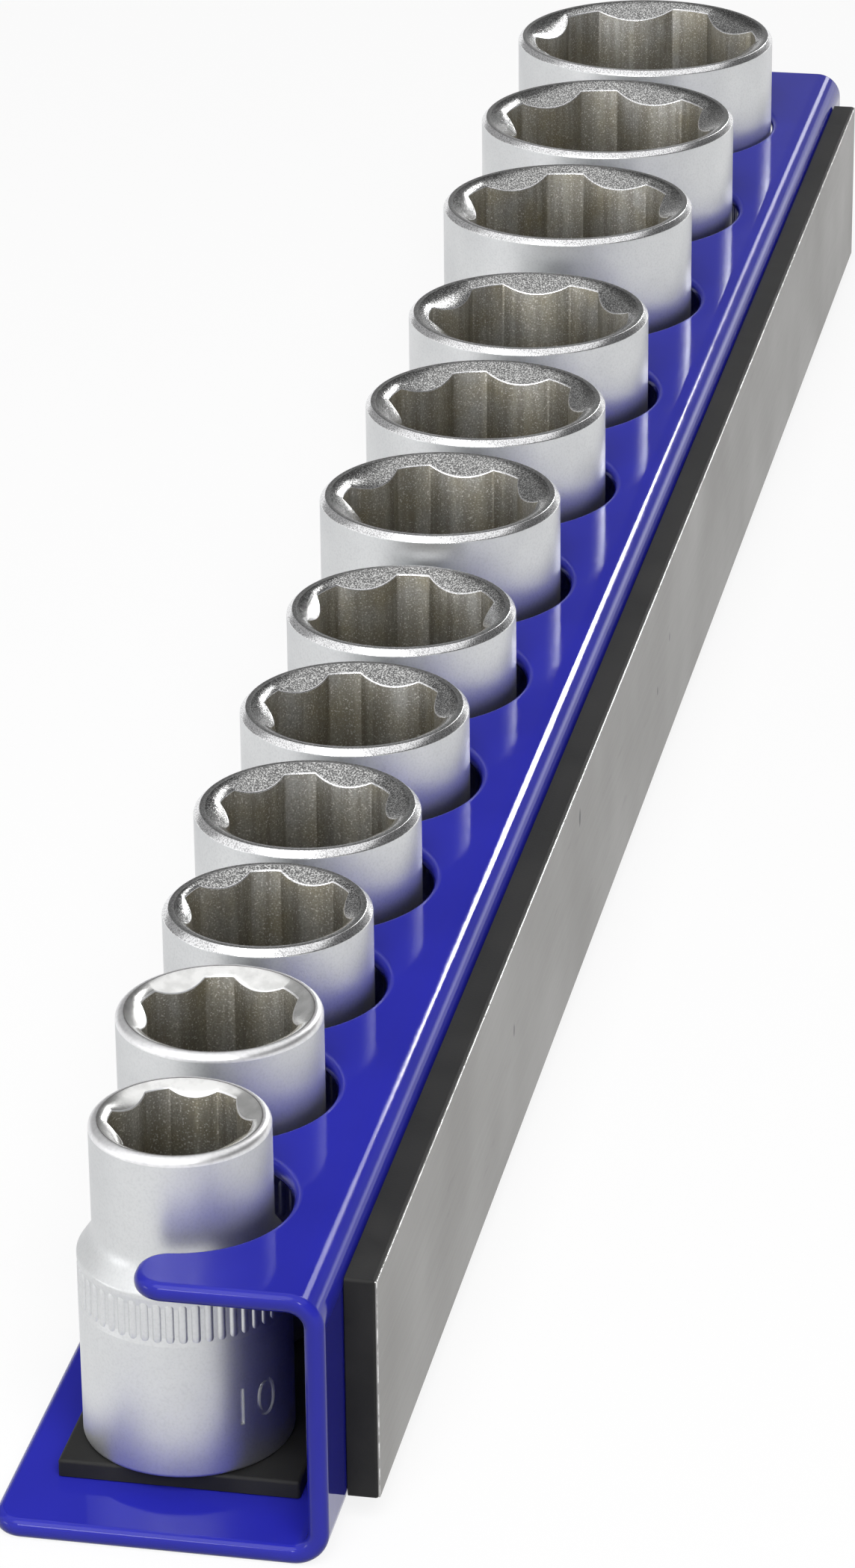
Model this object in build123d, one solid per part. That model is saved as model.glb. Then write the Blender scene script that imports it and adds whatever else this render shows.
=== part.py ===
from build123d import *
import math
import os

# A rail of bent sheet steel that holds a row of sockets, with a magnet strip under
# the sockets and another one on its back. Millimetres. +Z is up, +Y runs along the
# rail from the smallest socket to the largest, +X points out of the back.

# Rail: one sheet bent to a channel that is open on its -X side
sheet = 1.7
bend_inside = 1.3
rail_height = 24.5
base_depth = 27.7
base_corner = 2.5
top_depth = 15.6
tip_corner = 2.7
edge_round = 0.4

# Cut-outs of the top flange, one for each socket
cutout_clearance = 1.05
pass_clearance = 0.3
near_web_land = 6.2
far_web_land = 4.95
near_end_land = 5.65
far_end_land = 7.7
tongue_width = 3.0
tongue_round = 1.1
end_tongue_round = 2.5

# Magnet strips and the tape that bonds them
end_inset = 7.2
tape = 0.1
tape_inset = 0.5
strip_round = 0.5
base_strip_width = 20.0
base_strip_thickness = 1.5
base_strip_inset = 3.8
back_strip_width = 20.0
back_strip_thickness = 2.35
back_strip_rise = 2.4
face_sheet = 0.3
face_inset = 0.3

# Sockets, from the smallest to the largest
hex_sizes = (10.0, 12.0, 13.0, 14.0, 15.0, 16.0, 17.0, 18.0, 19.0, 21.0, 22.0, 24.0)
mouth_diameters = (14.7, 17.3, 18.2, 20.4, 21.4, 22.3, 24.3, 25.3, 26.4, 28.6, 30.3, 32.0)
drive_diameters = (17.3, 17.3, 18.2, 20.4, 21.4, 22.3, 22.3, 22.3, 22.3, 24.0, 24.0, 24.0)
socket_spaces = (3.1, 2.1, 1.5, 1.7, 2.1, 1.3, 2.6, 2.6, 3.9, 3.5, 2.9)
short_length = 28.25
middle_length = 30.45
long_length = 32.65
socket_lengths = (short_length,) * 6 + (middle_length,) * 3 + (long_length,) * 3
hex_turns = (2, 43, 44, 47, 48, 34, 57, 50, 5, 41, 44, 14)
seat_clearance = 0.05

# Shape that all the sockets share
mouth_chamfer = 0.6
foot_chamfer = 0.5
rim_land = 1.05
lead_in_angle = 30
hex_sides = 6
corner_half_angle = 10
hex_depth = 13.0
relief_share = 0.96
drive_wall = 2.2
shoulder_top = 18.4
shoulder_slope_share = 1.45
drive_square = 9.6
drive_depth = 11.2
drive_corner = 0.5
drive_chamfer = 0.5
detent_height = 5.2
detent_ball = 1.9
detent_depth = 0.8

# Worked out from the sizes above
count = len(hex_sizes)
bend_outside = bend_inside + sheet
back_stack = tape + back_strip_thickness + face_sheet
socket_foot = sheet + tape + base_strip_thickness + seat_clearance


def along(near, far, index):
    """Value between the near end's and the far end's, for the socket of that index."""
    return near + (far - near) * index / (count - 1)


mouth_radii = [diameter / 2 for diameter in mouth_diameters]
cutout_radii = [
    max(mouth / 2 + cutout_clearance, drive / 2 + pass_clearance)
    for mouth, drive in zip(mouth_diameters, drive_diameters)
]
socket_depths = [
    along(near_web_land, far_web_land, index) + mouth_radii[index] + cutout_clearance
    for index in range(count)
]
socket_runs = [near_end_land + cutout_radii[0]]
for index in range(1, count):
    pitch = mouth_radii[index - 1] + socket_spaces[index - 1] + mouth_radii[index]
    socket_runs.append(socket_runs[-1] + pitch)
rail_length = socket_runs[-1] + cutout_radii[-1] + far_end_land

# The origin lies under the middle of the whole part
row_reach = max(depth + radius for depth, radius in zip(socket_depths, mouth_radii))
back_face_x = (max(row_reach, base_depth) - back_stack) / 2
near_end_y = -rail_length / 2
far_end_y = rail_length / 2


def place_x(depth):
    """X of a place that lies that far in front of the back face of the rail."""
    return back_face_x - depth


def place_y(run):
    """Y of a place that lies that far from the near end of the rail."""
    return near_end_y + run


def block(low, high):
    """Box between two corners."""
    size = [top - bottom for bottom, top in zip(low, high)]
    middle = [(top + bottom) / 2 for bottom, top in zip(low, high)]
    return Pos(*middle) * Box(*size)


def half_chord(index, depth):
    """Half the width of a cut-out at a depth in front of the rail's back face."""
    return math.sqrt(cutout_radii[index] ** 2 - (depth - socket_depths[index]) ** 2)


def tongue_depth(index):
    """Depth to which the tongue after a cut-out reaches before it gets too narrow."""
    radius = (cutout_radii[index] + cutout_radii[index + 1]) / 2
    depth = (socket_depths[index] + socket_depths[index + 1]) / 2
    half_width = (socket_runs[index + 1] - socket_runs[index] - tongue_width) / 2
    if half_width >= radius:
        return top_depth
    return min(top_depth, depth - math.sqrt(radius ** 2 - half_width ** 2))


def arc(start, middle, end):
    """Arc through three places given as depth and run."""
    points = [(place_x(depth), place_y(run)) for depth, run in (start, middle, end)]
    return ThreePointArc(*points)


def line(start, end):
    """Straight line between two places given as depth and run."""
    points = [(place_x(depth), place_y(run)) for depth, run in (start, end)]
    return Line(*points)


def rounded_edges(plate):
    """The plate with the edges of both its faces rounded, all but those at the bend."""
    seam_x = place_x(bend_outside)
    rim = [edge for edge in plate.edges() if edge.center().X < seam_x - edge_round]
    flat_rim = [edge for edge in rim if edge.bounding_box().size.Z < sheet / 2]
    return fillet(flat_rim, edge_round)


def flange_outline():
    """Lines and arcs round the top flange, with an open cut-out for each socket."""
    start = (top_depth, socket_runs[0] - half_chord(0, top_depth))
    pieces = [line((bend_outside, 0), (top_depth, 0)), line((top_depth, 0), start)]
    for index in range(count):
        depth = tongue_depth(index) if index < count - 1 else top_depth
        back = (socket_depths[index] - cutout_radii[index], socket_runs[index])
        end = (depth, socket_runs[index] + half_chord(index, depth))
        pieces.append(arc(start, back, end))
        if index < count - 1:
            start = (depth, socket_runs[index + 1] - half_chord(index + 1, depth))
            pieces.append(line(end, start))
    pieces.append(line(end, (top_depth, rail_length)))
    pieces.append(line((top_depth, rail_length), (bend_outside, rail_length)))
    pieces.append(line((bend_outside, rail_length), (bend_outside, 0)))
    return pieces


def free_corners(outline):
    """Corners of the top flange at its full depth, from the near end to the far end."""
    corners = outline.vertices().sort_by(Axis.Y)
    return [corner for corner in corners if abs(corner.X - place_x(top_depth)) < sheet / 10]


def top_flange():
    """Flat part of the top flange, its tongues with round tips."""
    outline = make_face(Wire(Curve() + flange_outline()))
    tips = [tip for tip in outline.vertices() if tip.X < place_x(bend_outside) - tongue_round]
    middle_tips = sorted(tips, key=lambda tip: tip.Y)[2:-2]
    outline = fillet(middle_tips, tongue_round)
    corners = free_corners(outline)
    outline = fillet([corners[1], corners[-2]], end_tongue_round)
    corners = free_corners(outline)
    outline = fillet([corners[0], corners[-1]], tip_corner)
    plate = extrude(outline, sheet)
    return rounded_edges(Pos(0, 0, rail_height - sheet) * plate)


def base_flange():
    """Flat part of the bottom flange, with round corners at its free edge."""
    low = (place_x(base_depth), near_end_y, 0)
    high = (place_x(bend_outside), far_end_y, sheet)
    plate = block(low, high)
    corners = plate.edges().filter_by(Axis.Z).group_by(Axis.X)[0]
    return rounded_edges(fillet(corners, base_corner))


def web():
    """Upright back of the rail with its two bends."""
    seam_x = place_x(bend_outside)
    inside_x = back_face_x - sheet
    slant = math.sqrt(0.5)
    low_z = bend_outside
    high_z = rail_height - bend_outside

    def bend(radius, z, rise):
        """Middle of a bend's arc, below or above its centre."""
        return seam_x + radius * slant, z + rise * radius * slant

    outline = [
        Line((seam_x, sheet), (seam_x, 0)),
        ThreePointArc((seam_x, 0), bend(bend_outside, low_z, -1), (back_face_x, low_z)),
        Line((back_face_x, low_z), (back_face_x, high_z)),
        ThreePointArc((back_face_x, high_z), bend(bend_outside, high_z, 1), (seam_x, rail_height)),
        Line((seam_x, rail_height), (seam_x, rail_height - sheet)),
        ThreePointArc((seam_x, rail_height - sheet), bend(bend_inside, high_z, 1), (inside_x, high_z)),
        Line((inside_x, high_z), (inside_x, low_z)),
        ThreePointArc((inside_x, low_z), bend(bend_inside, low_z, -1), (seam_x, sheet)),
    ]
    section = make_face(Wire(Curve() + outline))
    upright = Plane(origin=(0, far_end_y, 0), x_dir=(1, 0, 0), z_dir=(0, -1, 0))
    return extrude(upright * section, rail_length)


def rail_channel():
    """The bent sheet: bottom flange, web and top flange in one piece."""
    return (web() + base_flange() + top_flange()).clean()


def strip(low, high, rounded_axis):
    """Magnet strip with its long edges rounded on the side away from the rail."""
    piece = block(low, high)
    edges = piece.edges().filter_by(Axis.Y).group_by(rounded_axis)[-1]
    return fillet(edges, strip_round)


def base_magnet_strip():
    """Strip on the bottom flange that the sockets stand on."""
    right = place_x(base_strip_inset)
    low = (right - base_strip_width, near_end_y + end_inset, sheet + tape)
    high = (right, far_end_y - end_inset, sheet + tape + base_strip_thickness)
    return strip(low, high, Axis.Z)


def base_strip_tape():
    """Double-sided tape between the bottom flange and its magnet strip."""
    right = place_x(base_strip_inset + tape_inset)
    width = base_strip_width - 2 * tape_inset
    margin = end_inset + tape_inset
    low = (right - width, near_end_y + margin, sheet)
    return block(low, (right, far_end_y - margin, sheet + tape))


def back_magnet_strip():
    """Strip on the back of the web that holds the rail to a steel panel."""
    left = back_face_x + tape
    low = (left, near_end_y + end_inset, back_strip_rise)
    high = (left + back_strip_thickness, far_end_y - end_inset, back_strip_rise + back_strip_width)
    return strip(low, high, Axis.X)


def back_strip_tape():
    """Double-sided tape between the web and its magnet strip."""
    margin = end_inset + tape_inset
    low = (back_face_x, near_end_y + margin, back_strip_rise + tape_inset)
    top = back_strip_rise + back_strip_width - tape_inset
    return block(low, (back_face_x + tape, far_end_y - margin, top))


def back_face_sheet():
    """Thin steel facing on the outer side of the back strip."""
    left = back_face_x + tape + back_strip_thickness
    inset = strip_round + face_inset
    margin = end_inset + face_inset
    low = (left, near_end_y + margin, back_strip_rise + inset)
    top = back_strip_rise + back_strip_width - inset
    return block(low, (left + face_sheet, far_end_y - margin, top))


def polar(radius, degrees):
    """Point on a circle round the socket's axis."""
    return radius * math.cos(math.radians(degrees)), radius * math.sin(math.radians(degrees))


def hex_outline(size, turn):
    """Six-point opening with wide relieved corners and flanks that bow inwards."""
    step = 360 / hex_sides
    flank = size / 2
    corner = flank / math.cos(math.radians(step / 2))
    pieces = []
    for side in range(hex_sides):
        angle = turn + side * step
        leave = polar(corner, angle + corner_half_angle)
        pieces += [
            ThreePointArc(polar(corner, angle - corner_half_angle), polar(corner, angle), leave),
            ThreePointArc(leave, polar(flank, angle + step / 2), polar(corner, angle + step - corner_half_angle)),
        ]
    return make_face(Wire(Curve() + pieces))


def turned_body(mouth, drive, length):
    """Outside of a socket: drive end, shoulder and mouth, turned about its axis."""
    shoulder_foot = shoulder_top - shoulder_slope_share * abs(mouth - drive)
    points = [(0, 0), (drive - foot_chamfer, 0), (drive, foot_chamfer)]
    if mouth != drive:
        points += [(drive, shoulder_foot), (mouth, shoulder_top)]
    points += [(mouth, length - mouth_chamfer), (mouth - mouth_chamfer, length), (0, length)]
    return revolve(Plane.XZ * make_face(Polyline(*points, close=True)), Axis.Z)


def relief_radius(size, drive):
    """Radius of the round bore between the six-point hole and the drive square."""
    return min(size / 2 * relief_share, drive - drive_wall)


def mouth_cavity(size, turn, mouth, drive, length):
    """Lead-in cone, six-point hole and round relief under it."""
    wide = mouth - rim_land
    narrow = size / 2 * relief_share
    cone_depth = (wide - narrow) * math.tan(math.radians(lead_in_angle))
    cone = Pos(0, 0, length - cone_depth / 2) * Cone(narrow, wide, cone_depth)
    hole = Pos(0, 0, length - hex_depth) * extrude(hex_outline(size, turn), hex_depth)
    relief_height = length - drive_depth
    relief = Cylinder(relief_radius(size, drive), relief_height)
    return cone + hole + Pos(0, 0, length - relief_height / 2) * relief


def drive_cavity():
    """Square hole for the drive, with a chamfered edge and a dimple in each face."""
    section = RectangleRounded(drive_square, drive_square, drive_corner)
    hole = extrude(section, drive_depth)
    outer = Rectangle(drive_square + 2 * drive_chamfer, drive_square + 2 * drive_chamfer)
    inner = Pos(0, 0, drive_chamfer) * Rectangle(drive_square, drive_square)
    hole += loft([outer.face(), inner.face()])
    reach = drive_square / 2 + detent_depth - detent_ball
    for side in range(4):
        # Each ball's seam faces the axis, away from the wall that the ball dents
        ball = Pos(-reach, 0, detent_height) * Sphere(detent_ball)
        hole += Rot(0, 0, side * 90) * ball
    return hole


def socket(index):
    """One socket, standing on the base strip with its mouth up."""
    mouth = mouth_radii[index]
    drive = drive_diameters[index] / 2
    length = socket_lengths[index]
    body = turned_body(mouth, drive, length)
    body -= mouth_cavity(hex_sizes[index], hex_turns[index], mouth, drive, length)
    body -= drive_cavity()
    return Pos(place_x(socket_depths[index]), place_y(socket_runs[index]), socket_foot) * body


def build():
    """All the pieces by name."""
    pieces = {
        "rail_channel": rail_channel(),
        "base_magnet_strip": base_magnet_strip(),
        "base_strip_tape": base_strip_tape(),
        "back_magnet_strip": back_magnet_strip(),
        "back_strip_tape": back_strip_tape(),
        "back_face_sheet": back_face_sheet(),
    }
    for index, size in enumerate(hex_sizes):
        pieces[f"socket_{size:.0f}mm"] = socket(index)
    return pieces


os.makedirs("parts", exist_ok=True)
for name, piece in build().items():
    export_step(piece, f"parts/{name}.step")
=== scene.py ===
"""Looks of a socket rail: an enamelled steel channel, two magnet strips and twelve sockets.

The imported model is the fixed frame. Every piece is built here in metres at its place in that
frame, rides on one of its bodies, and dresses a node of it or stands for one. The rail lies
along Y with its open side towards -X, and the smallest socket stands at the near end.
"""

import logging
import math
from dataclasses import dataclass, field
from enum import Enum

import bmesh
import bpy
import numpy as np
from mathutils import Matrix, Vector


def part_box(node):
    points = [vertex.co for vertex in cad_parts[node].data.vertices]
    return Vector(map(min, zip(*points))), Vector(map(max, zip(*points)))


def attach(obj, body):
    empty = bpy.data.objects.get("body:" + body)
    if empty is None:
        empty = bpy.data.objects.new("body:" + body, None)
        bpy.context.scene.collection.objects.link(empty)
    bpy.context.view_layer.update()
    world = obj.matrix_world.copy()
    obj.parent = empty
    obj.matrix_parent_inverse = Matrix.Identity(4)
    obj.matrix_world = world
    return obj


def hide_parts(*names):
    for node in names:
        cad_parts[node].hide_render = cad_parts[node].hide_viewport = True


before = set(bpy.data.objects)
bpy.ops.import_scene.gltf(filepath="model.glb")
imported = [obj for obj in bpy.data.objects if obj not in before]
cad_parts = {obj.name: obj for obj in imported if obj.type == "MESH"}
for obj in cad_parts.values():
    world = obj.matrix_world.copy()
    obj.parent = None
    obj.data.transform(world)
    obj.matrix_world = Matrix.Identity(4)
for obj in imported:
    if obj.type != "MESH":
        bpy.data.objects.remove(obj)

MM = 0.001
WHITE = (1.0, 1.0, 1.0, 1.0)
CLOUD = (0.3, 0.7)          # where nearly all the values of a noise lie
LONGEST_ROUNDING = 0.45     # share of a straight run that the rounding at one end may take
SAME_SPOT = 1e-9            # distance up to which two points of an outline are one
AREA_WEIGHT = 100           # weight at which the largest faces alone set the normals
Span = tuple[float, float]
Triple = tuple[float, float, float]
Output = bpy.types.NodeSocket
log = logging.getLogger("socket_rail")


class Mouth(Enum):
    """How the rim of a socket was finished."""

    SMOOTH = "smooth"
    GRAINY = "grainy"


class Zone(Enum):
    """Surface of a socket by how it was worked. The values are material indices."""

    BODY = 0
    EDGE = 1
    RIM = 2
    LEAD_IN = 3
    BROACHED = 4


@dataclass(frozen=True)
class NodeBox:
    """Lowest and highest corner of a node of the frame."""

    low: Vector
    high: Vector

    @classmethod
    def of(cls, node: str) -> "NodeBox":
        """Box of the node with that name."""
        return cls(*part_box(node))

    @property
    def centre(self) -> Vector:
        """Middle of the box."""
        return (self.low + self.high) / 2

    @property
    def size(self) -> Vector:
        """Lengths of the box's sides."""
        return self.high - self.low


class Wiring:
    """Node tree with short calls for its nodes."""

    tree: bpy.types.NodeTree

    def add(self, kind: str, inputs: dict | None = None, **settings: object) -> bpy.types.Node:
        """Adds a node.

        Args:
            kind: The node's type.
            inputs: Values or source sockets by the input's name or place.
            **settings: Properties of the node.

        Returns:
            The new node.
        """
        node = self.tree.nodes.new(kind)
        for name, value in settings.items():
            setattr(node, name, value)
        for key, value in (inputs or {}).items():
            if isinstance(value, Output):
                self.tree.links.new(value, node.inputs[key])
            else:
                node.inputs[key].default_value = value
        return node

    def first(self, kind: str, inputs: dict | None = None, **settings: object) -> Output:
        """Adds a node and gives its first output. The arguments are those of add."""
        return self.add(kind, inputs, **settings).outputs[0]

    def math(self, operation: str, *values: object) -> Output:
        """Result of one sum of numbers or sockets."""
        return self.first("ShaderNodeMath", dict(enumerate(values)), operation=operation)


class Graph(Wiring):
    """Node tree of a material or of the world, with what the finishes share."""

    def __init__(self, owner: bpy.types.Material | bpy.types.World) -> None:
        """Empties the owner's tree.

        Args:
            owner: The material or world whose nodes are made.
        """
        owner.use_nodes = True
        self.tree = owner.node_tree
        self.tree.nodes.clear()

    def place(self, stretch: Triple = (1.0, 1.0, 1.0)) -> Output:
        """Object coordinates.

        Args:
            stretch: Factors along X, Y and Z. A small factor draws a pattern out that way.

        Returns:
            The vector socket.
        """
        coordinates = self.add("ShaderNodeTexCoord").outputs["Object"]
        return self.first("ShaderNodeMapping", {"Vector": coordinates, "Scale": stretch})

    def noise(self, size: float, detail: float = 2.0, stretch: Triple = (1.0, 1.0, 1.0)) -> Output:
        """Cloudy noise on the object.

        Args:
            size: Width of one patch.
            detail: Number of finer layers.
            stretch: Factors for the coordinates along X, Y and Z.

        Returns:
            The noise's factor, about 0.5 on average.
        """
        inputs = {"Vector": self.place(stretch), "Scale": 1 / size, "Detail": detail}
        return self.add("ShaderNodeTexNoise", inputs).outputs["Fac"]

    def ramp(self, source: Output, span: Span, out: Span = (0.0, 1.0)) -> Output:
        """Maps a span of a value to another span, and holds it at the ends.

        Args:
            source: The value.
            span: Values that give the two results.
            out: The two results.

        Returns:
            The mapped value.
        """
        return self.first("ShaderNodeMapRange", dict(enumerate((source, *span, *out))))

    def mix(self, share: Output, first: Triple | Output, second: Triple | Output) -> Output:
        """Blends two colours.

        Args:
            share: Share of the second colour.
            first: Colour at 0.
            second: Colour at 1.

        Returns:
            The blended colour.
        """
        one, two = (
            colour if isinstance(colour, Output) else (*colour, 1.0) for colour in (first, second)
        )
        return self.first("ShaderNodeMixRGB", {"Fac": share, "Color1": one, "Color2": two})

    def bump(self, height: Output, depth: float, strength: float = 1.0,
             under: Output | None = None) -> Output:
        """Relief from a height.

        Args:
            height: Height from 0 to 1.
            depth: Depth of the relief.
            strength: Share of the relief that shows.
            under: Normal of a coarser relief below this one.

        Returns:
            The normal.
        """
        inputs = {"Height": height, "Distance": depth, "Strength": strength}
        if under is not None:
            inputs["Normal"] = under
        return self.first("ShaderNodeBump", inputs)

    def surface(self, colour: Output, roughness: float | Output, normal: Output, **others: float) -> None:
        """Ends the tree in one surface shader.

        Args:
            colour: The surface's colour.
            roughness: Its roughness.
            normal: Its relief.
            **others: Other values of the shader, with _ for the spaces in their names.
        """
        inputs = {"Base Color": colour, "Roughness": roughness, "Normal": normal}
        inputs |= {name.replace("_", " "): value for name, value in others.items()}
        self.shade("Material", self.first("ShaderNodeBsdfPrincipled", inputs))

    def shade(self, kind: str, shader: Output) -> None:
        """Ends the tree in a shader, for a Material or a World."""
        self.add(f"ShaderNodeOutput{kind}", {"Surface": shader})


def new_material(name: str) -> tuple[bpy.types.Material, Graph]:
    """Makes an empty material.

    Args:
        name: The material's name.

    Returns:
        The material and its graph.
    """
    material = bpy.data.materials.new(name)
    return material, Graph(material)


@dataclass(frozen=True)
class Enamel:
    """Glossy stoved enamel on the channel, with a slight orange peel."""

    colour: Triple = (0.021, 0.023, 0.378)
    deep_colour: Triple = (0.018, 0.020, 0.325)
    shade_patch: float = 14 * MM
    gloss_patch: float = 14 / 3 * MM
    gloss: Span = (0.06, 0.11)
    peel_size: float = 1.5 * MM
    peel_depth: float = 0.006 * MM
    dust_size: float = 0.25 * MM
    dust_depth: float = 0.002 * MM
    refraction: float = 1.33

    def material(self) -> bpy.types.Material:
        """Blue enamel."""
        material, graph = new_material("blue_enamel")
        patches = graph.noise(self.shade_patch)
        colour = graph.mix(graph.ramp(patches, CLOUD), self.deep_colour, self.colour)
        roughness = graph.ramp(graph.noise(self.gloss_patch, 4), CLOUD, self.gloss)
        peel = graph.bump(graph.noise(self.peel_size, 1), self.peel_depth)
        dust = graph.bump(graph.noise(self.dust_size, 3), self.dust_depth, 1.0, peel)
        graph.surface(colour, roughness, dust, IOR=self.refraction)
        return material


@dataclass(frozen=True)
class SatinChrome:
    """Blasted and satin-chromed outside of the sockets."""

    name: str = "satin_chrome"
    colour: Triple = (0.695, 0.705, 0.71)
    worn_colour: Triple = (0.62, 0.63, 0.64)
    worn_span: Span = (0.35, 0.7)
    pit_colour: Triple = (0.42, 0.425, 0.44)
    pit_size: float = 0.22 * MM
    pit_span: Span = (0.45, 0.75)
    pit_share: float = 0.22
    metal_share: float = 0.97
    handling_patch: float = 9 * MM
    matt: Span = (0.40, 0.48)
    grain_size: float = 0.16 * MM
    grain_depth: float = 0.006 * MM

    def material(self) -> bpy.types.Material:
        """Satin chrome."""
        material, graph = new_material(self.name)
        patches = graph.noise(self.handling_patch, 4)
        worn = graph.mix(graph.ramp(patches, self.worn_span), self.colour, self.worn_colour)
        pits = graph.ramp(graph.noise(self.pit_size, 2), self.pit_span, (0.0, self.pit_share))
        colour = graph.mix(pits, worn, self.pit_colour)
        roughness = graph.ramp(patches, CLOUD, self.matt)
        grain = graph.bump(graph.noise(self.grain_size, 3), self.grain_depth)
        graph.surface(colour, roughness, grain, Metallic=self.metal_share)
        return material


@dataclass(frozen=True)
class GrainyChrome:
    """Chrome over a coarser ground, which sparkles in specks."""

    name: str
    light: Triple
    dark: Triple
    speck_size: float
    light_share: float
    roughness: float
    relief: float
    noise_spread: float = 0.4
    speck_edge: float = 0.11

    def material(self) -> bpy.types.Material:
        """Chrome with light and dark specks."""
        material, graph = new_material(self.name)
        specks = graph.noise(self.speck_size, 3)
        middle = 0.5 + (0.5 - self.light_share) * self.noise_spread
        share = graph.ramp(specks, (middle - self.speck_edge, middle + self.speck_edge))
        colour = graph.mix(share, self.dark, self.light)
        graph.surface(colour, self.roughness, graph.bump(specks, self.relief), Metallic=1.0)
        return material


@dataclass(frozen=True)
class BroachedSteel:
    """Walls of the six-point hole and the drive square: drawn streaks, scale and fine specks."""

    pale: Triple = (0.48, 0.475, 0.455)
    brown: Triple = (0.40, 0.365, 0.275)
    shade: Triple = (0.24, 0.225, 0.19)
    speck: Triple = (0.95, 0.94, 0.90)
    streak_width: float = 0.8 * MM
    streak_stretch: float = 0.04
    streak_span: Span = (0.4, 0.62)
    streak_share: float = 0.6
    stain_patch: float = 4 * MM
    stain_span: Span = (0.35, 0.7)
    speck_size: float = 0.16 * MM
    grit_span: Span = (0.5, 0.35)
    grit_share: float = 0.5
    speck_span: Span = (0.59, 0.68)
    speck_share: float = 0.7
    roughness: float = 0.46
    relief: float = 0.012 * MM
    relief_shares: Span = (0.6, 0.5)

    def material(self) -> bpy.types.Material:
        """Steel as the broach left it."""
        material, graph = new_material("broached_steel")
        streaks = graph.noise(self.streak_width, 3, (1.0, 1.0, self.streak_stretch))
        stains = graph.noise(self.stain_patch, 4)
        colour = graph.mix(graph.ramp(stains, self.stain_span), self.pale, self.brown)
        shades = graph.ramp(streaks, self.streak_span, (0.0, self.streak_share))
        colour = graph.mix(shades, colour, self.shade)
        specks = graph.noise(self.speck_size, 2)
        grit = graph.ramp(specks, self.grit_span, (0.0, self.grit_share))
        colour = graph.mix(grit, colour, self.shade)
        dots = graph.ramp(specks, self.speck_span, (0.0, self.speck_share))
        colour = graph.mix(dots, colour, self.speck)
        drawn = graph.bump(streaks, self.relief, self.relief_shares[0])
        grain = graph.bump(specks, self.relief, self.relief_shares[1], drawn)
        graph.surface(colour, self.roughness, grain, Metallic=1.0)
        return material


@dataclass(frozen=True)
class MagnetRubber:
    """Matt black bonded-ferrite strip with faint lines along its length and a little dust."""

    colour: Triple = (0.008, 0.008, 0.0078)
    dusty: Triple = (0.019, 0.0187, 0.0178)
    dust_patch: float = 6 * MM
    dust_span: Span = (0.4, 0.75)
    line_width: float = 0.5 * MM
    line_stretch: float = 0.02
    line_depth: float = 0.012 * MM
    grain_size: float = 0.22 * MM
    grain_depth: float = 0.01 * MM
    matt: Span = (0.56, 0.70)
    sheen: float = 0.3

    def material(self) -> bpy.types.Material:
        """Black magnet strip."""
        material, graph = new_material("black_magnet")
        patches = graph.noise(self.dust_patch, 5)
        colour = graph.mix(graph.ramp(patches, self.dust_span), self.colour, self.dusty)
        lines = graph.noise(self.line_width, 2, (1.0, self.line_stretch, 1.0))
        drawn = graph.bump(lines, self.line_depth)
        grain = graph.bump(graph.noise(self.grain_size, 3), self.grain_depth, 1.0, drawn)
        graph.surface(colour, graph.ramp(patches, CLOUD, self.matt), grain, Specular_IOR_Level=self.sheen)
        return material


@dataclass(frozen=True)
class BrushedFacing:
    """Light grey facing of the back strip, brushed along its length and scuffed in places."""

    colour: Triple = (0.29, 0.284, 0.275)
    streak: Triple = (0.268, 0.262, 0.252)
    streak_width: float = 0.35 * MM
    streak_stretch: float = 0.012
    streak_span: Span = (0.35, 0.7)
    scuff: Triple = (0.17, 0.166, 0.16)
    scuff_width: float = 0.8 * MM
    scuff_stretch: float = 0.12
    scuff_span: Span = (0.68, 0.76)
    scuff_share: float = 0.3
    nicks: tuple[Triple, ...] = (
        (-59.1 * MM, 18.7 * MM, 0.8 * MM), (-94.3 * MM, 13.9 * MM, 0.55 * MM),
        (-2.9 * MM, 13.8 * MM, 0.45 * MM), (-10.9 * MM, 11.1 * MM, 0.45 * MM),
    )
    nick_colour: Triple = (0.02, 0.02, 0.03)
    nick_length: float = 2.2
    nick_core: float = 0.35
    nick_edge: float = 0.6
    nick_share: float = 0.85
    gloss_patch: float = 22 * MM
    gloss: Span = (0.36, 0.5)
    metal_share: float = 0.85
    relief: float = 0.003 * MM

    def material(self) -> bpy.types.Material:
        """Brushed steel facing."""
        material, graph = new_material("face_steel")
        streaks = graph.noise(self.streak_width, 3, (1.0, self.streak_stretch, 1.0))
        colour = graph.mix(graph.ramp(streaks, self.streak_span), self.colour, self.streak)
        scuffs = graph.noise(self.scuff_width, 2, (1.0, self.scuff_stretch, 1.0))
        colour = graph.mix(graph.ramp(scuffs, self.scuff_span, (0.0, self.scuff_share)), colour, self.scuff)
        for nick in self.nicks:
            colour = graph.mix(self.nick(graph, *nick), colour, self.nick_colour)
        roughness = graph.ramp(graph.noise(self.gloss_patch, 3), CLOUD, self.gloss)
        graph.surface(colour, roughness, graph.bump(streaks, self.relief), Metallic=self.metal_share)
        return material

    def nick(self, graph: Graph, y: float, z: float, size: float) -> Output:
        """Share of a small upright nick.

        Args:
            graph: The tree that it's added to.
            y: Place along the rail.
            z: Height.
            size: Width.

        Returns:
            The nick's share on it, and 0 off it.
        """
        inputs = {0: graph.place((0.0, 1.0, 1 / self.nick_length)), 1: (0.0, y, z / self.nick_length)}
        away = graph.add("ShaderNodeVectorMath", inputs, operation="DISTANCE").outputs["Value"]
        return graph.ramp(away, (size * self.nick_core, size * self.nick_edge), (self.nick_share, 0.0))


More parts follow.
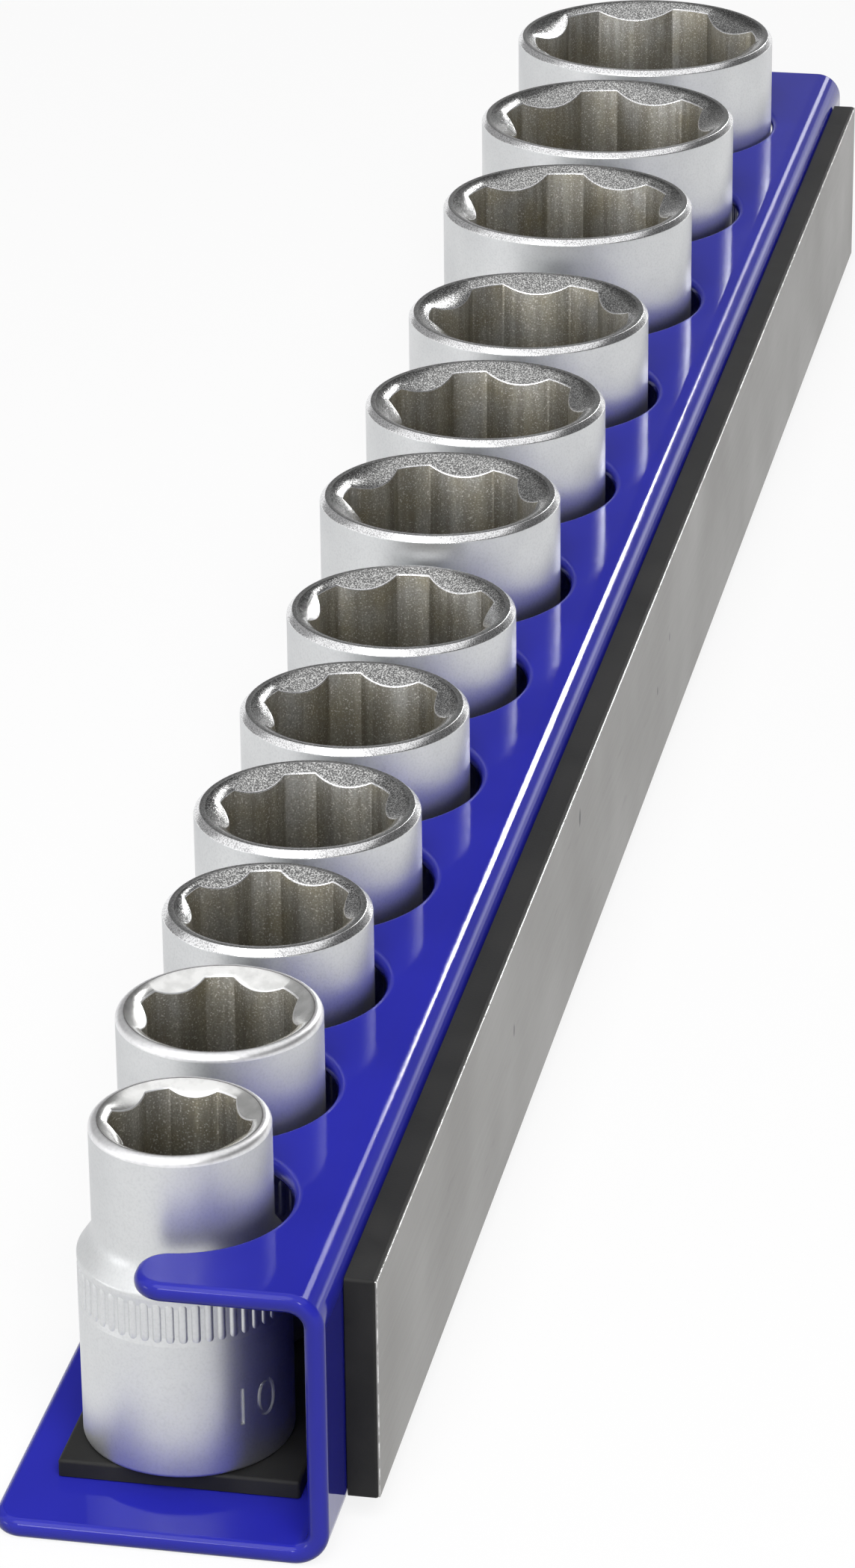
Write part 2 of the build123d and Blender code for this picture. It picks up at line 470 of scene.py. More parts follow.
@dataclass(frozen=True)
class BondingTape:
    """Dark foam tape between the steel and a magnet strip."""

    colour: Triple = (0.035, 0.034, 0.033)
    cell: Triple = (0.06, 0.058, 0.055)
    cell_size: float = 0.15 * MM
    cell_span: Span = (0.4, 0.65)
    roughness: float = 0.85
    relief: float = 0.02 * MM

    def material(self) -> bpy.types.Material:
        """Foam tape."""
        material, graph = new_material("bonding_tape")
        cells = graph.noise(self.cell_size, 2)
        colour = graph.mix(graph.ramp(cells, self.cell_span), self.colour, self.cell)
        graph.surface(colour, self.roughness, graph.bump(cells, self.relief))
        return material


def make_object(name: str, mesh: bpy.types.Mesh, materials: list[bpy.types.Material]) -> bpy.types.Object:
    """Puts a mesh in the scene at the origin.

    Args:
        name: The piece's name.
        mesh: Its mesh, in the frame's metres.
        materials: Its materials in order.

    Returns:
        The object.
    """
    for material in materials:
        mesh.materials.append(material)
    piece = bpy.data.objects.new(name, mesh)
    bpy.context.scene.collection.objects.link(piece)
    return piece


def baked(piece: bpy.types.Object) -> bpy.types.Object:
    """Turns a piece's modifiers into plain mesh.

    Args:
        piece: The piece.

    Returns:
        The same piece without modifiers.
    """
    graph = bpy.context.evaluated_depsgraph_get()
    mesh = bpy.data.meshes.new_from_object(piece.evaluated_get(graph), depsgraph=graph)
    piece.modifiers.clear()
    piece.data = mesh
    return piece


def soften(mesh: bpy.types.Mesh, crease: float) -> None:
    """Shades a mesh smooth, but keeps edges sharper than an angle crisp.

    Args:
        mesh: The mesh.
        crease: Least angle in degrees between two faces of a crisp edge.
    """
    net = bmesh.new()
    net.from_mesh(mesh)
    limit = math.radians(crease)
    for edge in net.edges:
        edge.smooth = len(edge.link_faces) == 2 and edge.calc_face_angle(0.0) < limit
    for face in net.faces:
        face.smooth = True
    net.to_mesh(mesh)
    net.free()


def round_edges(net: bmesh.types.BMesh, edges: list[bmesh.types.BMEdge], radius: float,
                steps: int) -> None:
    """Rounds edges of a mesh.

    Args:
        net: The mesh that is made.
        edges: Its edges to round.
        radius: Radius of the rounding.
        steps: Number of its sides.
    """
    bmesh.ops.bevel(
        net, geom=edges, offset=radius, offset_type="OFFSET", segments=steps, profile=0.5,
        affect="EDGES", clamp_overlap=True,
    )


def as_mesh(name: str, net: bmesh.types.BMesh) -> bpy.types.Mesh:
    """Turns an edited mesh into a plain one, and frees it.

    Args:
        name: The plain mesh's name.
        net: The edited mesh.

    Returns:
        The plain mesh.
    """
    mesh = bpy.data.meshes.new(name)
    net.to_mesh(mesh)
    net.free()
    return mesh


def weigh_normals(piece: bpy.types.Object) -> bpy.types.Object:
    """Makes large flat faces shade flat beside rounded edges.

    Args:
        piece: The piece.

    Returns:
        The same piece.
    """
    modifier = piece.modifiers.new("flat faces", "WEIGHTED_NORMAL")
    modifier.keep_sharp = True
    modifier.weight = AREA_WEIGHT
    return baked(piece)


def dress(piece: bpy.types.Object, body: str, slot: str, *nodes: str) -> None:
    """Lets a finished piece ride on its body and stand for its nodes.

    Args:
        piece: The piece.
        body: Body of the frame.
        slot: Not used. Slot of the record that the finish is from.
        *nodes: Nodes that the piece stands for.
    """
    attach(piece, body)
    if nodes:
        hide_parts(*nodes)
    log.info("%s: %d faces on %s", piece.name, len(piece.data.polygons), body)


class Path:
    """Flat outline of straight runs and arcs."""

    def __init__(self, step_degrees: float = 4.0) -> None:
        """Starts an empty outline.

        Args:
            step_degrees: Most that one side of an arc turns.
        """
        self.points: list[Span] = []
        self.step = math.radians(step_degrees)

    def to(self, x: float, y: float) -> None:
        """Adds a point, unless the outline is already there."""
        if not self.points or math.dist(self.points[-1], (x, y)) > SAME_SPOT:
            self.points.append((x, y))

    def arc(self, centre: Span, start: Span, end: Span, left: bool) -> None:
        """Adds an arc.

        Args:
            centre: Its centre.
            start: Its first point.
            end: Its last point.
            left: True where it turns to the left, from X towards Y.
        """
        radius = math.dist(centre, start)
        first = math.atan2(start[1] - centre[1], start[0] - centre[0])
        last = math.atan2(end[1] - centre[1], end[0] - centre[0])
        turn = (last - first) % math.tau if left else -((first - last) % math.tau)
        steps = max(2, math.ceil(abs(turn) / self.step))
        for index in range(steps + 1):
            angle = first + turn * index / steps
            self.to(centre[0] + radius * math.cos(angle), centre[1] + radius * math.sin(angle))


@dataclass(frozen=True)
class SocketSize:
    """What differs from one socket to the next."""

    across_flats: int
    mouth: float
    drive: float
    turn: float
    stamp_direction: float
    rim: Mouth = Mouth.GRAINY

    @property
    def node(self) -> str:
        """Name of the socket's node and body."""
        return f"socket_{self.across_flats}mm"


SOCKETS = (
    SocketSize(10, 14.7 * MM, 17.3 * MM, 2, -38, Mouth.SMOOTH),
    SocketSize(12, 17.3 * MM, 17.3 * MM, 43, 176, Mouth.SMOOTH),
    SocketSize(13, 18.2 * MM, 18.2 * MM, 44, 196),
    SocketSize(14, 20.4 * MM, 20.4 * MM, 47, 168),
    SocketSize(15, 21.4 * MM, 21.4 * MM, 48, 187),
    SocketSize(16, 22.3 * MM, 22.3 * MM, 34, 204),
    SocketSize(17, 24.3 * MM, 22.3 * MM, 57, 172),
    SocketSize(18, 25.3 * MM, 22.3 * MM, 50, 183),
    SocketSize(19, 26.4 * MM, 22.3 * MM, 5, 160),
    SocketSize(21, 28.6 * MM, 24.0 * MM, 41, 190),
    SocketSize(22, 30.3 * MM, 24.0 * MM, 44, 178),
    SocketSize(24, 32.0 * MM, 24.0 * MM, 14, 199),
)


@dataclass
class Channel:
    """The enamelled steel channel, with a cut-out in its top flange for each socket."""

    enamel: Enamel
    sheet: float = 1.7 * MM
    bend_inside: float = 1.3 * MM
    bend_steps: int = 12
    top_depth: float = 15.6 * MM
    base_corner: float = 2.5 * MM
    tip_corner: float = 2.7 * MM
    end_tongue_round: float = 2.5 * MM
    tongue_round: float = 1.1 * MM
    tongue_width: float = 3.0 * MM
    cutout_clearance: float = 1.05 * MM
    pass_clearance: float = 0.3 * MM
    last_clearances: Span = (0.75 * MM, 0.15 * MM)
    edge_round: float = 0.75 * MM
    edge_steps: int = 6
    crease: float = 60.0
    box: NodeBox = field(default_factory=lambda: NodeBox.of("rail_channel"))

    @property
    def seam_x(self) -> float:
        """X at which the flanges pass into their bends."""
        return self.box.high.x - self.bend_inside - self.sheet

    @property
    def flange_x(self) -> float:
        """X to which the top flange reaches."""
        return self.box.high.x - self.top_depth

    def cutouts(self) -> list[Triple]:
        """Centre and radius of each cut-out."""
        found = []
        usual = [self.cutout_clearance] * (len(SOCKETS) - len(self.last_clearances))
        for size, clearance in zip(SOCKETS, [*usual, *self.last_clearances]):
            centre = NodeBox.of(size.node).centre
            radius = max(size.mouth / 2 + clearance, size.drive / 2 + self.pass_clearance)
            found.append((centre.x, centre.y, radius))
        return found

    def tongue_x(self, one: Triple, other: Triple) -> float:
        """Place to which the tongue between two cut-outs reaches before it gets too narrow.

        Args:
            one: Centre and radius of the nearer cut-out.
            other: Centre and radius of the farther one.

        Returns:
            X of the tongue's tip.
        """
        radius = (one[2] + other[2]) / 2
        middle = (one[0] + other[0]) / 2
        half_width = (other[1] - one[1] - self.tongue_width) / 2
        if half_width >= radius:
            return self.flange_x
        return max(self.flange_x, middle + math.sqrt(radius ** 2 - half_width ** 2))

    def rounded_tip(self, cutout: Triple, tip_x: float, side: int,
                    rounding: float) -> tuple[Span, Span, Span]:
        """Round corner between a cut-out and the straight tip of a tongue.

        Args:
            cutout: Centre and radius of the cut-out.
            tip_x: X of the tip.
            side: 1 for the tongue beyond the cut-out, -1 for the one before it.
            rounding: Radius of the corner.

        Returns:
            Centre of the round corner, its point on the cut-out and its point on the tip.
        """
        x, y, radius = cutout
        centre_x = tip_x + rounding
        reach = radius + rounding
        centre_y = y + side * math.sqrt(reach ** 2 - (centre_x - x) ** 2)
        share = radius / reach
        on_cutout = (x + (centre_x - x) * share, y + (centre_y - y) * share)
        return (centre_x, centre_y), on_cutout, (tip_x, centre_y)

    def flange_ends(self, edge_x: float, corner: float, between: Path | None = None) -> list[Span]:
        """Outline of a flange from the near end of the seam round to its far end.

        Args:
            edge_x: X of its free edge.
            corner: Radius of its two corners.
            between: What its free edge has between them.

        Returns:
            The outline.
        """
        path = Path()
        near, far = self.box.low.y, self.box.high.y
        turn_x = edge_x + corner
        path.to(self.seam_x, near)
        path.arc((turn_x, near + corner), (turn_x, near), (edge_x, near + corner), False)
        for point in between.points if between else ():
            path.to(*point)
        path.arc((turn_x, far - corner), (edge_x, far - corner), (turn_x, far), False)
        path.to(self.seam_x, far)
        return path.points

    def cut_edge(self) -> Path:
        """Free edge of the top flange, with its cut-outs and tongues."""
        path = Path()
        cutouts = self.cutouts()
        tip_x = self.flange_x
        for index, cutout in enumerate(cutouts):
            rounding = self.tongue_round if index else self.end_tongue_round
            centre, on_cutout, on_tip = self.rounded_tip(cutout, tip_x, -1, rounding)
            path.arc(centre, on_tip, on_cutout, False)
            last = index == len(cutouts) - 1
            tip_x = self.flange_x if last else self.tongue_x(cutout, cutouts[index + 1])
            rounding = self.end_tongue_round if last else self.tongue_round
            centre, leave, on_tip = self.rounded_tip(cutout, tip_x, 1, rounding)
            path.arc(cutout[:2], on_cutout, leave, True)
            path.arc(centre, leave, on_tip, False)
        return path

    def bend_line(self, inside: bool, y: float) -> list[Vector]:
        """Points up the bends and the web at one end, from the bottom seam to the top seam.

        Args:
            inside: True for the inner face of the sheet.
            y: Place along the rail.

        Returns:
            The points.
        """
        radius = self.bend_inside + (0.0 if inside else self.sheet)
        rise = self.bend_inside + self.sheet
        points = []
        for centre_z, start in ((self.box.low.z + rise, -90), (self.box.high.z - rise, 0)):
            for index in range(self.bend_steps + 1):
                angle = math.radians(start + 90 * index / self.bend_steps)
                x = self.seam_x + radius * math.cos(angle)
                points.append(Vector((x, y, centre_z + radius * math.sin(angle))))
        return points

    def mesh(self) -> bpy.types.Mesh:
        """The folded sheet with rounded rims."""
        net = bmesh.new()
        base_outline = self.flange_ends(self.box.low.x, self.base_corner)[1:-1]
        top_outline = self.flange_ends(self.flange_x, self.tip_corner, self.cut_edge())[1:-1]
        skins = []
        for inside in (False, True):
            near, far = (
                [net.verts.new(point) for point in self.bend_line(inside, y)]
                for y in (self.box.low.y, self.box.high.y)
            )
            lift = self.sheet if inside else 0.0
            base = [net.verts.new((x, y, self.box.low.z + lift)) for x, y in base_outline]
            top = [net.verts.new((x, y, self.box.high.z - lift)) for x, y in top_outline]
            base = [near[0], *base, far[0]]
            top = [near[-1], *top, far[-1]]
            net.faces.new(base)
            net.faces.new(top)
            for corners in zip(near, near[1:], far[1:], far):
                net.faces.new(corners)
            skins.append((base, top, near, far))
        self.close_rims(net, skins)
        bmesh.ops.recalc_face_normals(net, faces=net.faces)
        return as_mesh("blue_channel", net)

    def close_rims(self, net: bmesh.types.BMesh, skins: list[tuple]) -> None:
        """Joins the two faces of the sheet along its rim and rounds the rim's edges.

        Args:
            net: The mesh that is made.
            skins: Rows of vertices of the outer and the inner face.
        """
        rims = [
            net.faces.new(corners) for outer, inner in zip(*skins)
            for corners in zip(outer, outer[1:], inner[1:], inner)
        ]
        bmesh.ops.recalc_face_normals(net, faces=net.faces)
        rim_set = set(rims)
        edges = [
            edge for face in rims for edge in face.edges
            if len(rim_set.intersection(edge.link_faces)) == 1
        ]
        round_edges(net, edges, self.edge_round, self.edge_steps)

    def build(self) -> None:
        """Makes the channel and hangs it on the rail."""
        mesh = self.mesh()
        soften(mesh, self.crease)
        piece = weigh_normals(make_object("blue_channel", mesh, [self.enamel.material()]))
        dress(piece, "rail", "rail_paint", "rail_channel")


@dataclass
class MagnetStrips:
    """The black strips under the sockets and behind the rail, with facing and tape."""

    rubber: MagnetRubber
    facing: BrushedFacing
    cut_edge: GrainyChrome
    tape: BondingTape
    edge_round: float = 0.3 * MM
    facing_round: float = 0.08 * MM
    facing_sink: float = 0.2 * MM
    facing_margin: float = 0.12 * MM
    round_steps: int = 4
    flatness: float = 0.999
    crease: float = 60.0

    def slab(self, name: str, box: NodeBox, bonded: Vector, edge_round: float) -> bpy.types.Mesh:
        """Block that fills a box, with round edges except on its bonded face.

        Args:
            name: The mesh's name.
            box: The box.
            bonded: Outward direction of the bonded face.
            edge_round: Radius of the edges.

        Returns:
            The mesh.
        """
        net = bmesh.new()
        place = Matrix.Translation(box.centre) @ Matrix.Diagonal((*box.size, 1.0))
        bmesh.ops.create_cube(net, size=1.0, matrix=place)
        free = [
            edge for edge in net.edges
            if all(face.normal.dot(bonded) < 0.5 for face in edge.link_faces)
        ]
        round_edges(net, free, edge_round, self.round_steps)
        mesh = as_mesh(name, net)
        soften(mesh, self.crease)
        return mesh

    def brighten_edges(self, mesh: bpy.types.Mesh) -> None:
        """Gives a slab's rounded edges its second material.

        Args:
            mesh: The slab.
        """
        for face in mesh.polygons:
            face.material_index = int(max(abs(share) for share in face.normal) < self.flatness)

    def strips(self) -> None:
        """The two black strips. The back one sinks its face by the facing's seat."""
        rubber = self.rubber.material()
        seat = Vector((self.facing_sink, 0, 0))
        for node, name, bonded, deeper in (
            ("base_magnet_strip", "base_strip", Vector((0, 0, -1)), Vector()),
            ("back_magnet_strip", "back_strip", Vector((-1, 0, 0)), seat),
        ):
            box = NodeBox.of(node)
            mesh = self.slab(name, NodeBox(box.low, box.high + deeper), bonded, self.edge_round)
            dress(weigh_normals(make_object(name, mesh, [rubber])), "rail", "black_magnet", node)

    def face(self) -> None:
        """The grey facing, as deep as its node and a little smaller than the back strip."""
        strip, sheet = NodeBox.of("back_magnet_strip"), NodeBox.of("back_face_sheet")
        margin = Vector((0, self.facing_margin, self.facing_margin))
        low = Vector((sheet.low.x, *strip.low.yz)) + margin
        high = Vector((sheet.high.x, *strip.high.yz)) - margin
        mesh = self.slab("back_facing", NodeBox(low, high), Vector((-1, 0, 0)), self.facing_round)
        self.brighten_edges(mesh)
        materials = [self.facing.material(), self.cut_edge.material()]
        piece = weigh_normals(make_object("back_facing", mesh, materials))
        dress(piece, "rail", "face_steel", "back_face_sheet")

    def tapes(self) -> None:
        """Finish of the two tapes, which keep their own meshes."""
        tape = self.tape.material()
        for node in ("base_strip_tape", "back_strip_tape"):
            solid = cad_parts[node]
            solid.data.materials.clear()
            solid.data.materials.append(tape)
            log.info("%s: %d faces on rail", node, len(solid.data.polygons))

    def build(self) -> None:
        """Makes the strips and the facing, and dresses the tapes."""
        self.strips()
        self.face()
        self.tapes()


class Lathe:
    """Closed skin made of rings round an upright axis, whose radius may change with direction."""

    def __init__(self, directions: int) -> None:
        """Starts without rings.

        Args:
            directions: Number of points on each ring.
        """
        self.angles = np.arange(directions) * math.tau / directions
        self.rings: list[np.ndarray] = []
        self.zones: list[Zone] = []

    def ring(self, radius: float | np.ndarray, height: float | np.ndarray, zone: Zone) -> None:
        """Adds a ring.

        Args:
            radius: Radius in each direction.
            height: Height in each direction.
            zone: Surface between the last ring and this one.
        """
        whole = np.ones_like(self.angles)
        x = radius * np.cos(self.angles)
        y = radius * np.sin(self.angles)
        self.rings.append(np.stack([x, y, height * whole], axis=1))
        self.zones.append(zone)

    def mesh(self, name: str, centre: Vector) -> bpy.types.Mesh:
        """Joins the rings in order, and the last one to the first.

        Args:
            name: The mesh's name.
            centre: Place of the axis at height zero.

        Returns:
            The mesh.
        """
        count, around = len(self.rings), len(self.angles)
        points = np.concatenate(self.rings) + np.array(centre)
        index = np.arange(around)
        after = (index + 1) % around
        quads, zones = [], []
        for ring in range(count):
            last, this = (ring - 1) % count * around, ring * around
            corners = (last + index, last + after, this + after, this + index)
            quads.append(np.stack(corners, axis=1))
            zones += [self.zones[ring].value] * around
        mesh = bpy.data.meshes.new(name)
        mesh.from_pydata(points.tolist(), [], np.concatenate(quads).tolist())
        mesh.polygons.foreach_set("material_index", zones)
        mesh.update()
        return mesh


@dataclass(frozen=True)
class Corner:
    """Corner of a turned outline: radius and height, its rounding, and the surface up to it."""

    radius: float
    height: float
    rounding: float
    zone: Zone


def rounded_outline(corners: list[Corner], steps: int) -> list[tuple[float, float, Zone]]:
    """Rounds the inner corners of a turned outline.

    Args:
        corners: The corners in order. The first and the last one stay sharp.
        steps: Number of sides of each rounding.

    Returns:
        Radius, height and surface of each ring.
    """
    rings = [(corners[0].radius, corners[0].height, corners[0].zone)]
    for before, corner, after in zip(corners, corners[1:], corners[2:]):
        spot = Vector((corner.radius, corner.height))
        back = Vector((before.radius, before.height)) - spot
        on = Vector((after.radius, after.height)) - spot
        if corner.rounding == 0:
            rings.append((spot.x, spot.y, corner.zone))
            continue
        turn = math.pi - back.angle(on)
        longest = LONGEST_ROUNDING * min(back.length, on.length)
        reach = min(corner.rounding * math.tan(turn / 2), longest)
        start, end = spot + back.normalized() * reach, spot + on.normalized() * reach
        for index in range(steps + 1):
            share = index / steps
            point = start * (1 - share) ** 2 + spot * (2 * share * (1 - share)) + end * share ** 2
            zone = corner.zone if share <= 0.5 else after.zone
            rings.append((point.x, point.y, corner.zone if index == 0 else zone))
    last = corners[-1]
    rings.append((last.radius, last.height, last.zone))
    return rings


@dataclass(frozen=True)
class SocketForm:
    """Shape that all the sockets share."""

    directions: int = 360
    mouth_chamfer: float = 0.55 * MM
    chamfer_round: float = 0.25 * MM
    lip_radius: float = 0.7 * MM
    lip_steps: int = 8
    foot_ring: float = 1.5
    foot_round: float = 0.6 * MM
    rim_lands: dict[Mouth, float] = field(
        default_factory=lambda: {Mouth.SMOOTH: 0.8 * MM, Mouth.GRAINY: 1.05 * MM}
    )
    lead_in_slope: float = math.tan(math.radians(30))
    corner_half_angle: float = math.radians(10)
    hex_depth: float = 13.0 * MM
    relief_share: float = 0.96
    drive_wall: float = 2.2 * MM
    shoulder_top: float = 18.4 * MM
    shoulder_slope_share: float = 1.45
    shoulder_round: float = 2.4 * MM
    drive_square: float = 9.6 * MM
    drive_depth: float = 11.2 * MM
    drive_corner: float = 0.5 * MM
    drive_chamfer: float = 0.5 * MM
    detent_height: float = 5.2 * MM
    detent_ball: float = 1.9 * MM
    detent_depth: float = 0.8 * MM
    dimple_steps: int = 10
    lip_start: float = 0.108 * MM
    lip_middle: Span = (0.0315 * MM, -0.009 * MM)
    lip_end: float = 0.072 * MM
    knurl_top: float = 16.2 * MM
    knurl_height: float = 4.1 * MM
    knurl_gap: float = 0.35 * MM
    knurl_depth: float = 0.15 * MM
    knurl_run_out: float = 0.7 * MM
    groove_round: float = 0.05 * MM
    rib_depth: float = 0.34 * MM
    knurl_pitch: float = 1.07 * MM
    rib_share: float = 0.76
    stamp_height: float = 3.6 * MM
    stamp_middle: float = 5.6 * MM
    stamp_depth: float = 0.22 * MM
    stamp_cap: float = 0.72
    stamp_thinning: float = 0.012
    stamp_steps: int = 5
    stamp_weld: float = 0.002 * MM
    outline_steps: int = 4
    crease: float = 42.0


@dataclass
class KnurlTree(Wiring):
    """Geometry Nodes tree for a band of upright ribs round a socket's drive end."""

    rib_sides: int = 5
    rib_levels: int = 9
    edge_share: float = 0.40
    end_sharpness: float = 16.0
    least_swell: float = 0.4
    tree: bpy.types.NodeTree = field(init=False)
    keys: dict[str, str] = field(init=False, default_factory=dict)

    def __post_init__(self) -> None:
        """Builds the tree once for all the sockets."""
        self.tree = bpy.data.node_groups.new("knurl_band", "GeometryNodeTree")
        interface = self.tree.interface
        interface.new_socket("Geometry", in_out="OUTPUT", socket_type="NodeSocketGeometry")
        for name, kind in (
            ("Centre", "Vector"), ("Radius", "Float"), ("Ribs", "Int"), ("Rib Width", "Float"),
            ("Rib Height", "Float"), ("Rib Depth", "Float"), ("Finish", "Material"),
        ):
            item = interface.new_socket(name, in_out="INPUT", socket_type=f"NodeSocket{kind}")
            self.keys[name] = item.identifier
        self.wire()

    def upright(self, height: float | Output) -> Output:
        """Vector along Z."""
        return self.first("ShaderNodeCombineXYZ", {2: height})

    def rib(self, given: bpy.types.Node) -> Output:
        """One rib, which swells from a narrow end to its full section and back.

        Args:
            given: The group's inputs.

        Returns:
            The rib's mesh, round the Z axis.
        """
        half = self.math("MULTIPLY", given.outputs["Rib Height"], 0.5)
        ends = {"Start": self.upright(self.math("MULTIPLY", half, -1.0)), "End": self.upright(half)}
        line = self.first("GeometryNodeCurvePrimitiveLine", ends)
        line = self.first("GeometryNodeResampleCurve", {"Curve": line, "Count": self.rib_levels})
        share = self.add("GeometryNodeSplineParameter").outputs["Factor"]
        across = self.math("ABSOLUTE", self.math("SUBTRACT", self.math("MULTIPLY", share, 2.0), 1.0))
        fall = self.math("POWER", across, self.end_sharpness)
        swell = self.math("SQRT", self.math("SUBTRACT", 1.0, fall))
        swell = self.math("MAXIMUM", swell, self.least_swell)
        width = given.outputs["Rib Width"]
        thickness = self.math("MULTIPLY", given.outputs["Rib Depth"], 2.0)
        section = self.first("GeometryNodeCurvePrimitiveQuadrilateral", {"Width": width, "Height": thickness})
        rounding = self.math("MULTIPLY", width, self.edge_share)
        inputs = {"Curve": section, "Count": self.rib_sides, "Radius": rounding}
        section = self.first("GeometryNodeFilletCurve", inputs, mode="POLY")
        return self.first("GeometryNodeCurveToMesh", {
            "Curve": line, "Profile Curve": section, "Scale": swell, "Fill Caps": True,
        })

    def wire(self) -> None:
        """Sets the ribs round the axis and gives them their finish."""
        given = self.add("NodeGroupInput")
        rib = self.first("GeometryNodeTransform", {
            "Geometry": self.rib(given), "Rotation": self.upright(math.pi / 2),
            "Translation": self.first("ShaderNodeCombineXYZ", {0: given.outputs["Radius"]}),
        })
        spots = self.first("GeometryNodePoints", {"Count": given.outputs["Ribs"]})
        index = self.first("GeometryNodeInputIndex")
        turn = self.math("MULTIPLY", self.math("DIVIDE", index, given.outputs["Ribs"]), math.tau)
        ribs = self.first("GeometryNodeInstanceOnPoints", {
            "Points": spots, "Instance": rib, "Rotation": self.upright(turn),
        })
        band = self.first("GeometryNodeTransform", {"Geometry": ribs, "Translation": given.outputs["Centre"]})
        real = self.first("GeometryNodeRealizeInstances", {"Geometry": band})
        smooth = self.first("GeometryNodeSetShadeSmooth", {"Geometry": real})
        dressed = self.first("GeometryNodeSetMaterial", {
            "Geometry": smooth, "Material": given.outputs["Finish"],
        })
        self.add("NodeGroupOutput", {0: dressed})

    def band(self, name: str, values: dict[str, object]) -> bpy.types.Object:
        """Bakes one band of ribs.

        Args:
            name: The piece's name.
            values: Value of each named input.

        Returns:
            The band as a plain mesh.
        """
        piece = make_object(name, bpy.data.meshes.new(name), [])
        modifier = piece.modifiers.new("knurl", "NODES")
        modifier.node_group = self.tree
        for key, value in values.items():
            modifier[self.keys[key]] = value
        return baked(piece)


